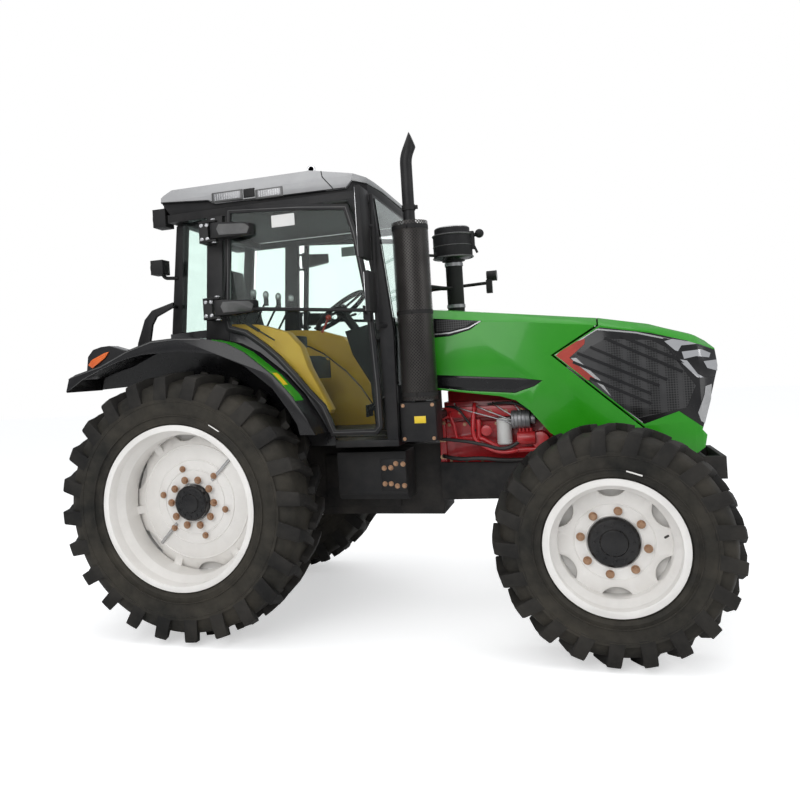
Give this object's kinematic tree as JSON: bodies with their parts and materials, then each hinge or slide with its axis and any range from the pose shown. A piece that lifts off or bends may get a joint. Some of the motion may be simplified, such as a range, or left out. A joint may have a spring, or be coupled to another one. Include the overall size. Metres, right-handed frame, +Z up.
{
  "type": "farm tractor",
  "caption": "Four-wheel-drive farm tractor with an enclosed cab, tilting nose, steered front wheels, hinged doors and a rear three-point hitch.",
  "frame": {"origin": "on the ground under the middle of the overall length and width", "axes": "+X forward, +Y to the left, +Z up"},
  "size_m": [4.08, 2.178, 3.0276],
  "materials": {
    "aluminium": "dull",
    "black_paint": "satin",
    "black_plastic": "matt",
    "cast_grey": "painted",
    "filter_white": "satin",
    "glass": "tinted",
    "green_paint": "gloss",
    "lens": "clear",
    "orange_lens": "gloss",
    "red_paint": "gloss",
    "seat_fabric": "woven",
    "silver_plastic": "satin",
    "smoked_plastic": "gloss",
    "steel": "machined",
    "tyre": "matt, dusty",
    "white_paint": "gloss",
    "yellow_plastic": "satin"
  },
  "bodies": {
    "chassis": {"air_intake": "black_plastic", "bonnet_rear": "green_paint", "bonnet_vents": "black_plastic", "cab_base": "black_paint", "cab_frame": "black_paint", "cab_glass": "glass", "cab_roof": "silver_plastic", "cab_trim": "yellow_plastic", "console": "black_plastic", "dash": "black_plastic", "drawbar": "black_paint", "engine": "red_paint", "exhaust_guard": "black_paint", "exhaust_pipe": "black_paint", "filters": "filter_white", "front_axle": "cast_grey", "front_frame": "cast_grey", "gearbox": "cast_grey", "handrails": "black_paint", "mirrors": "black_plastic", "power_shaft": "steel", "radiator": "aluminium", "rear_axle": "cast_grey", "roof_liner": "black_plastic", "seat": "seat_fabric", "side_tanks": "black_plastic", "steering_wheel": "black_plastic", "wing_lamps": "orange_lens", "wing_left": "black_plastic", "wing_right": "black_plastic", "work_lamps": "black_plastic"},
    "nose": {"nose_shell": "green_paint", "side_grilles": "smoked_plastic", "headlamps": "lens"},
    "door_right": {"door_frame_right": "black_paint", "door_glass_right": "glass"},
    "door_left": {"door_frame_left": "black_paint", "door_glass_left": "glass"},
    "knuckle_right": {"knuckle_right": "cast_grey"},
    "knuckle_left": {"knuckle_left": "cast_grey"},
    "lift_arms": {"lift_arms": "black_paint"},
    "lower_links": {"lower_links": "steel"},
    "lift_rods": {"lift_rods": "steel"},
    "rear_wheel_right": {"rear_tyre_right": "tyre", "rear_rim_right": "white_paint", "rear_hub_right": "black_paint"},
    "rear_wheel_left": {"rear_tyre_left": "tyre", "rear_rim_left": "white_paint", "rear_hub_left": "black_paint"},
    "front_wheel_right": {"front_tyre_right": "tyre", "front_rim_right": "white_paint", "front_hub_right": "black_paint"},
    "front_wheel_left": {"front_tyre_left": "tyre", "front_rim_left": "white_paint", "front_hub_left": "black_paint"}
  },
  "joints": [
    {"name": "rear_wheel_right_spin", "type": "hinge", "parent": "chassis", "child": "rear_wheel_right", "pos_m": [-1.09, -0.86, 0.83], "axis": [0, 1, 0], "continuous": true},
    {"name": "steer_right", "type": "hinge", "parent": "chassis", "child": "knuckle_right", "pos_m": [1.39, -0.705, 0.625], "axis": [0, 0, 1], "range_deg": [-40, 40]},
    {"name": "front_wheel_right_spin", "type": "hinge", "parent": "knuckle_right", "child": "front_wheel_right", "pos_m": [1.39, -0.9, 0.625], "axis": [0, 1, 0], "continuous": true},
    {"name": "door_right_open", "type": "hinge", "parent": "chassis", "child": "door_right", "pos_m": [-0.835, -0.862, 2], "axis": [0, 0, -1], "range_deg": [0, 65]},
    {"name": "rear_wheel_left_spin", "type": "hinge", "parent": "chassis", "child": "rear_wheel_left", "pos_m": [-1.09, 0.86, 0.83], "axis": [0, 1, 0], "continuous": true},
    {"name": "steer_left", "type": "hinge", "parent": "chassis", "child": "knuckle_left", "pos_m": [1.39, 0.705, 0.625], "axis": [0, 0, 1], "range_deg": [-40, 40]},
    {"name": "front_wheel_left_spin", "type": "hinge", "parent": "knuckle_left", "child": "front_wheel_left", "pos_m": [1.39, 0.9, 0.625], "axis": [0, 1, 0], "continuous": true},
    {"name": "door_left_open", "type": "hinge", "parent": "chassis", "child": "door_left", "pos_m": [-0.835, 0.862, 2], "axis": [0, 0, 1], "range_deg": [0, 65]},
    {"name": "nose_tilt", "type": "hinge", "parent": "chassis", "child": "nose", "pos_m": [1.34, 0, 1.833], "axis": [0, -1, 0], "range_deg": [0, 50]},
    {"name": "link_lift", "type": "hinge", "parent": "chassis", "child": "lower_links", "pos_m": [-1.2, 0, 0.49], "axis": [0, 1, 0], "range_deg": [-20, 30]},
    {"name": "arm_lift", "type": "hinge", "parent": "chassis", "child": "lift_arms", "pos_m": [-1.27, 0, 1.15], "axis": [0, 1, 0], "range_deg": [-26, 39]},
    {"name": "rod_follow", "type": "hinge", "parent": "lower_links", "child": "lift_rods", "pos_m": [-1.61, 0, 0.545], "axis": [0, 1, 0], "range_deg": [-30, 20]}
  ],
  "couplings": [
    {"joint": "steer_left", "follows": "steer_right", "ratio": 1},
    {"joint": "arm_lift", "follows": "link_lift", "ratio": 1.281},
    {"joint": "rod_follow", "follows": "link_lift", "ratio": -1}
  ]
}
